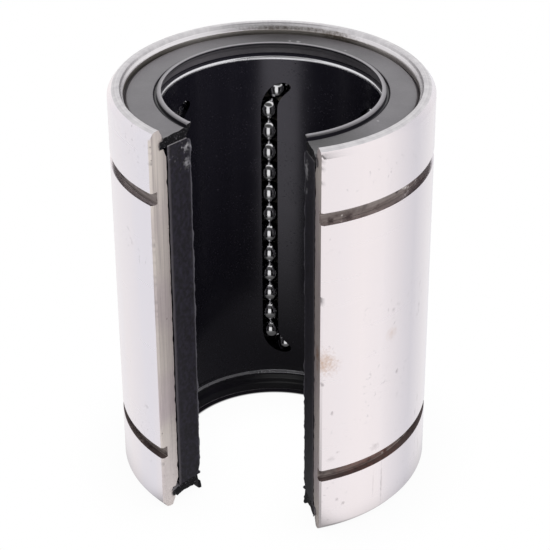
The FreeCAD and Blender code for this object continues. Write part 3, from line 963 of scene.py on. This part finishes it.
def seal_rubber():
    """Moulded seal: nearly black rubber with a dull grey bloom, partly painted sheen, fine pores, pale
    dust, dark patches of painted shade and dirt, and a painted highlight on the lip's top.
    """
    material, tree, surface, place = new_material(
        "moulded_seal_rubber", IOR=1.5, Specular_IOR_Level=0.75)
    bloom_size = 3.5 * MM
    colour, _ = dapple(tree, place, 1 / bloom_size, 4.0, linear("#535055"), "#6b686c")
    pore_size = 0.45 * MM
    colour, pore = dapple(
        tree, place, 1 / pore_size, 4.0, colour, "#77747a", low=0.55, high=0.8, most=0.5)
    # Painted shade, partly dirt: dark patches on the seal face near the sleeve's wall, at the front
    # right and at the back.
    colour = lay_marks(tree, place, colour, SEAL_MIDDLE, SEAL_PAINTED_SHADE_AND_DIRT, "#141316", frayed=0.4)
    lip_top = HALF_LENGTH - UPPER_LIP_DEPTH
    # Painted highlight: the top of the lip is painted paler, as if lit from above.
    pale_top = add_node(tree, "MapRange", {
        "Value": add_node(tree, "SeparateXYZ", {0: place}).outputs["Z"],
        "From Min": lip_top - LIP_SLOPE,
        "From Max": lip_top - 0.04 * MM,
        "To Max": 0.9,
    })
    mixed = add_node(tree, "MixRGB", {
        "Fac": pale_top.outputs[0], "Color1": colour, "Color2": linear("#98959a")})
    colour = lay_marks(tree, place, mixed.outputs["Color"], SEAL_MIDDLE, SEAL_DUST, "#d8d6d8")
    colour = lay_marks(tree, place, colour, LIP_BACK - LIP_ROUND, LIP_DUST, "#d8d6d8")
    set_finish(tree, surface, colour, pore, 0.26, 0.38)
    bump = add_node(tree, "Bump", {"Height": pore, "Strength": 0.25, "Distance": 0.05 * MM})
    tree.links.new(bump.outputs[0], surface.inputs["Normal"])
    return material


def torn_seal():
    """The seals' cut ends: black rubber torn into fibres, with fine pale scuffs."""
    material, tree, surface, place = new_material(
        "torn_seal_rubber", Roughness=0.6, IOR=1.5, Specular_IOR_Level=0.2)
    fibre = 0.22 * MM
    fibres = add_node(tree, "Mapping", {
        "Vector": place, "Rotation": (0.0, 0.6, 0.0), "Scale": (0.3 / fibre, 1 / fibre, 1 / fibre)})
    strand = add_node(tree, "TexNoise", {
        "Vector": fibres.outputs[0], "Scale": 1.0, "Detail": 4.0, "Distortion": 0.6}).outputs["Fac"]
    scuff = add_node(tree, "MapRange", {
        "Value": strand, "From Min": 0.6, "From Max": 0.72, "To Max": 0.55})
    colour = add_node(tree, "MixRGB", {
        "Fac": scuff.outputs[0], "Color1": linear("#0f0e11"), "Color2": linear("#97949a")})
    tree.links.new(colour.outputs["Color"], surface.inputs["Base Color"])
    bump = add_node(tree, "Bump", {"Height": strand, "Strength": 0.7, "Distance": 0.12 * MM})
    tree.links.new(bump.outputs[0], surface.inputs["Normal"])
    return material


def painted_shade_seal():
    """The insides of the seals: the same rubber without its grey bloom, black and smooth, a darker copy
    that is painted shade.
    """
    material, tree, surface, place = new_material("painted_shade_seal_rubber", IOR=1.5, Specular_IOR_Level=0.45)
    cloud_size = 2.5 * MM
    colour, cloud = dapple(tree, place, 1 / cloud_size, 3.0, linear("#121116"), "#1f1d24")
    set_finish(tree, surface, colour, cloud, 0.25, 0.4)
    return material


SEAL_MIDDLE = LIP_BACK + 1.5 * MM
# Painted shade, partly dirt, and dust on the upper seal: angle in degrees, height, half width and half
# height in millimetres, strength
SEAL_PAINTED_SHADE_AND_DIRT = [
    (-55.0, 33.5, 10.0, 3.0, 1.0),
    (100.0, 33.3, 16.0, 3.0, 0.9),
    (-40.0, 33.5, 6.0, 3.0, 0.4),
    (58.0, 33.3, 5.5, 3.0, 0.6),
]
SEAL_DUST = [
    (95.2, 33.5, 0.35, 0.5, 0.9),
    (91.0, 33.5, 0.5, 0.5, 0.7),
    (66.0, 33.5, 0.3, 0.5, 0.5),
    (-20.0, 33.5, 0.3, 0.5, 0.5),
]
LIP_DUST = [
    (93.4, 34.0, 0.3, 0.5, 0.9),
    (90.2, 34.0, 0.25, 0.5, 0.9),
    (86.3, 34.0, 0.35, 0.5, 0.7),
]
rubber = seal_rubber()
torn_rubber = torn_seal()
# The black copy of the seal rubber is painted shade for the recessed faces under the lip.
black_rubber = painted_shade_seal()
INSIDE = 2
for node, end, lip_depth in (
    ("upper_end_seal", 1, UPPER_LIP_DEPTH),
    ("lower_end_seal", -1, LOWER_LIP_DEPTH),
):
    section = [
        (SEAL_FLANGE, SEAT_DEPTH, SEAL_ROUND),
        (SEAL_SKIRT, SEAT_DEPTH, SEAL_ROUND),
        (SEAL_SKIRT, BEAD_DEPTH, SEAL_ROUND),
        (SEAL_BEAD, BEAD_DEPTH, LIP_ROUND),
        (SEAL_BEAD, BEAD_TOP_DEPTH, LIP_ROUND),
        (SEAL_RIM, BEAD_TOP_DEPTH, SEAL_ROUND),
        (SEAL_RIM - SEAL_EDGE, FACE_OUTER_DEPTH, SEAL_ROUND),
        (FACE_INNER, FACE_INNER_DEPTH, SEAL_ROUND),
        (LIP_BACK + SEAL_EDGE, FACE_INNER_DEPTH + LIP_GROOVE, SEAL_ROUND),
        (LIP_BACK, FACE_INNER_DEPTH + LIP_GROOVE, SEAL_ROUND),
        (LIP_BACK, lip_depth + LIP_SLOPE, LIP_ROUND),
        (LIP_RADIUS, lip_depth, LIP_ROUND),
        (LIP_RADIUS + LIP_UNDERCUT, FACE_INNER_DEPTH, SEAL_ROUND),
        (SEAL_RELIEF, FACE_INNER_DEPTH + RELIEF_HEIGHT, SEAL_ROUND),
    ]
    ring = spun_section(
        [(radius, end * (HALF_LENGTH - depth), rounding) for radius, depth, rounding in section],
        SEAL_ROW,
    )
    # Recessed faces below the lip get the black copy: painted shade.
    for face in ring.faces:
        centre = face.calc_center_median()
        radius = math.hypot(centre.x, centre.y)
        height = abs(centre.z)
        side, depth = nearest_cut(centre)
        below_lip = height < HALF_LENGTH - lip_depth - LIP_TOP_BAND
        deep = height < HALF_LENGTH - FACE_INNER_DEPTH - HOLLOW_DROP
        hollow = radius > LIP_RADIUS + LIP_ROUND and (deep or radius < LIP_BACK - SHARP)
        if depth < END_FACE:
            face.material_index = CUT
        elif radius < LIP_BACK + SEAL_EDGE + SEAL_ROUND and below_lip:
            face.material_index = MOULDED if hollow and end > 0 else INSIDE
    for corner in ring.verts:
        side, depth = nearest_cut(corner.co)
        near = max(0, 1 - depth / TORN_REACH)
        torn = [lumps(corner.co, TORN_SIZE, seed) * TORN * near for seed in (2, 4, 6)]
        radius = math.hypot(corner.co.x, corner.co.y)
        flap = FLAP * near * max(0, radius - FLAP_START) / (SEAL_BEAD - FLAP_START)
        outward = Vector((corner.co.x, corner.co.y, 0)).normalized()
        corner.co += behind_cut(side) * (torn[0] - flap) + outward * (torn[2] + flap)
        corner.co.z += torn[1] + end * flap
    as_piece(f"{node}_moulded", ring, [rubber, torn_rubber, black_rubber], node)

# Balls: lapped bearing steel, 28 in each of the five circuits, in four groups that move apart.
# They run dry and clean, so each is a small mirror of the light from the slot and the top.


def lapped_steel():
    """Lapped chrome steel: a mirror with the faintest haze."""
    material, tree, surface, place = new_material("lapped_chrome_steel", Metallic=1.0)
    haze_size = 1.5 * MM
    colour, haze = dapple(tree, place, 1 / haze_size, 2.0, linear("#d2d1d4"), "#e0dfe1")
    set_finish(tree, surface, colour, haze, 0.04, 0.1)
    return material


ball_steel = lapped_steel()
for name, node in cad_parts.items():
    if name.startswith("circuit_"):
        node.data.materials.clear()
        node.data.materials.append(ball_steel)

# Floor and background: white to the eye and in reflections. The floor keeps a faint shadow, and
# reflections see painted shade darken it inside the bearing and in front of the slot.
FLOOR_SIDE = 3.0
SHADOW_REACH = 12 * MM
SHADOW_SHARE = 0.05
UNDER_SEAL = 16.55 * MM
UNDER_BLUR = 0.2 * MM
UNDER_FADE = 3 * MM
FRONT_DARK = 8 * MM
FRONT_BRIGHT = -72 * MM
BORE_GLOW = 0.1
SLOT_DARK = 10 * MM
SLOT_BRIGHT = 20 * MM
OUTSIDE_BRIGHT = OUTER_RADIUS + 4.5 * MM


def looked_at(tree):
    """The light path, and a value that is 1 for what the camera, a reflection or glass looks at."""
    rays = add_node(tree, "LightPath")
    seen = add_node(tree, "Math", {
        0: rays.outputs["Is Camera Ray"], 1: rays.outputs["Is Glossy Ray"]}, operation="MAXIMUM")
    seen = add_node(tree, "Math", {
        0: seen.outputs[0], 1: rays.outputs["Is Transmission Ray"]}, operation="MAXIMUM")
    return rays, seen.outputs[0]


def white_stage():
    """Plain white floor: its own light for the eye and for reflections, and a pale matt surface for
    other light. Reflections see painted shade on it inside the bearing, and a dark ring of painted
    shadow lies under the seal."""
    material = bpy.data.materials.new("white_floor")
    material.use_nodes = True
    tree = material.node_tree
    tree.nodes.remove(tree.nodes["Principled BSDF"])
    place = add_node(tree, "TexCoord").outputs["Object"]
    rays, seen = looked_at(tree)
    matt = add_node(tree, "BsdfDiffuse", {"Color": linear("#e6e6e6")})
    near = add_node(tree, "AmbientOcclusion", {"Distance": SHADOW_REACH}, samples=8)
    shade = add_node(tree, "MixRGB", {
        "Fac": SHADOW_SHARE, "Color1": linear("#ffffff"), "Color2": near.outputs["Color"]})
    parts = add_node(tree, "SeparateXYZ", {0: place})
    radius = from_axis(tree, place)
    # Painted shade for reflections: the floor dims inside the bearing and in front of the slot.
    front = add_node(tree, "MapRange", {
        "Value": parts.outputs["Y"],
        "From Min": FRONT_DARK,
        "From Max": FRONT_BRIGHT,
        "To Min": BORE_GLOW,
    }, interpolation_type="SMOOTHSTEP")
    across = add_node(tree, "Math", {0: parts.outputs["X"]}, operation="ABSOLUTE")
    beside = add_node(tree, "Math", {0: across.outputs[0], 1: parts.outputs["Y"]}, operation="MAXIMUM")
    beside = add_node(tree, "MapRange", {
        "Value": beside.outputs[0], "From Min": SLOT_DARK, "From Max": SLOT_BRIGHT},
        interpolation_type="SMOOTHSTEP")
    outside = add_node(tree, "MapRange", {
        "Value": radius, "From Min": CAGE_BORE, "From Max": OUTSIDE_BRIGHT},
        interpolation_type="SMOOTHSTEP")
    around = add_node(tree, "Math", {0: beside.outputs[0], 1: outside.outputs[0]}, operation="MULTIPLY")
    glow = add_node(tree, "Math", {0: front.outputs[0], 1: around.outputs[0]}, operation="MAXIMUM")
    glow = add_node(tree, "Math", {
        0: glow.outputs[0], 1: rays.outputs["Is Camera Ray"]}, operation="MAXIMUM")
    # Painted shadow: a dark ring on the floor under the lower seal.
    under = add_node(tree, "MapRange", {
        "Value": radius, "From Min": UNDER_SEAL - UNDER_BLUR, "From Max": UNDER_SEAL + UNDER_BLUR})
    behind = add_node(tree, "MapRange", {"Value": parts.outputs["Y"], "From Max": UNDER_FADE})
    within = add_node(tree, "Math", {0: radius, 1: MOUTH_RADIUS}, operation="LESS_THAN")
    painted_shadow_ring = add_node(tree, "Math", {0: under.outputs[0], 1: behind.outputs[0]}, operation="MULTIPLY")
    painted_shadow_ring = add_node(tree, "Math", {0: painted_shadow_ring.outputs[0], 1: within.outputs[0]}, operation="MULTIPLY")
    shade = add_node(tree, "MixRGB", {
        "Fac": painted_shadow_ring.outputs[0], "Color1": shade.outputs["Color"], "Color2": linear("#121014")})
    light = add_node(tree, "Emission", {"Color": shade.outputs["Color"], "Strength": glow.outputs[0]})
    both = add_node(tree, "MixShader", {0: seen, 1: matt.outputs[0], 2: light.outputs[0]})
    tree.links.new(both.outputs[0], tree.nodes["Material Output"].inputs["Surface"])
    return material


ground = bmesh.new()
bmesh.ops.create_grid(
    ground,
    x_segments=1,
    y_segments=1,
    size=FLOOR_SIDE / 2,
    matrix=Matrix.Translation((0, 0, cad_low.z)),
)
floor_mesh = bpy.data.meshes.new("floor")
ground.to_mesh(floor_mesh)
ground.free()
floor_mesh.materials.append(white_stage())
floor = bpy.data.objects.new("floor", floor_mesh)
bpy.context.scene.collection.objects.link(floor)

# Light: a white tent with one soft lamp above and to the right of the camera. Reflections also see
# the dark gap in the tent that the camera looks through.
TENT_LIGHT = 0.5
GAP_WIDTH = (0.42, 1.0, 1.0)
GAP_TOWARDS = Vector((0.074, -0.704, 0.69)).normalized()
GAP_HALF = math.radians(19)
GAP_EDGE = math.radians(5)
GAP_DEPTH = 0.92
world = bpy.data.worlds.new("white_tent")
world.use_nodes = True
bpy.context.scene.world = world
sky = world.node_tree
direction = add_node(sky, "TexCoord").outputs["Generated"]
rays, seen = looked_at(sky)
level = add_node(sky, "MapRange", {"Value": seen, "To Min": TENT_LIGHT, "To Max": 1.0})
narrowed = add_node(sky, "VectorMath", {0: direction, 1: GAP_WIDTH}, operation="MULTIPLY")
narrowed = add_node(sky, "VectorMath", {0: narrowed.outputs[0]}, operation="NORMALIZE")
facing = add_node(sky, "VectorMath", {
    0: narrowed.outputs[0], 1: GAP_TOWARDS}, operation="DOT_PRODUCT")
gap = add_node(sky, "MapRange", {
    "Value": facing.outputs["Value"],
    "From Min": math.cos(GAP_HALF + GAP_EDGE),
    "From Max": math.cos(GAP_HALF - GAP_EDGE),
    "To Max": -GAP_DEPTH,
}, interpolation_type="SMOOTHSTEP")
strength = add_node(sky, "Math", {
    0: gap.outputs[0], 1: rays.outputs["Is Glossy Ray"], 2: level.outputs[0]}, operation="MULTIPLY_ADD")
sky.links.new(strength.outputs[0], sky.nodes["Background"].inputs["Strength"])
sky.nodes["Background"].inputs["Color"].default_value = linear("#ffffff")

KEY_SPOT = Vector((280, -320, 420)) * MM
KEY_SIDE = 300 * MM
KEY_POWER = 2.6
key_data = bpy.data.lights.new("soft_key", "AREA")
key_data.size = KEY_SIDE
key_data.energy = KEY_POWER
key = bpy.data.objects.new("soft_key", key_data)
key.location = KEY_SPOT
key.rotation_mode = "QUATERNION"
key.rotation_quaternion = (-KEY_SPOT).to_track_quat("-Z", "Y")
key.visible_camera = False
key.visible_glossy = False
bpy.context.scene.collection.objects.link(key)

# Camera: a long lens a little to the right of the slot, looking down into the bore. Its place and
# turn were fitted to the ellipses and edges of the sleeve.
CAMERA_SPOT = Vector((68.84, -270.53, 163.79)) * MM
CAMERA_AZIMUTH = math.radians(14.2)
CAMERA_PITCH = math.radians(30.456)
CAMERA_ROLL = math.radians(-0.337)
LENS_MM = 127.0
SENSOR_MM = 36
NEAREST = 10 * MM
FARTHEST = 10
camera_data = bpy.data.cameras.new("camera")
camera_data.lens = LENS_MM
camera_data.sensor_width = SENSOR_MM
camera_data.clip_start = NEAREST
camera_data.clip_end = FARTHEST
camera = bpy.data.objects.new("camera", camera_data)
camera.matrix_world = (
    Matrix.Translation(CAMERA_SPOT)
    @ Matrix.Rotation(CAMERA_AZIMUTH, 4, "Z")
    @ Matrix.Rotation(math.pi / 2 - CAMERA_PITCH, 4, "X")
    @ Matrix.Rotation(CAMERA_ROLL, 4, "Z")
)
bpy.context.scene.collection.objects.link(camera)
bpy.context.scene.camera = camera
bpy.context.scene.view_settings.view_transform = "Standard"
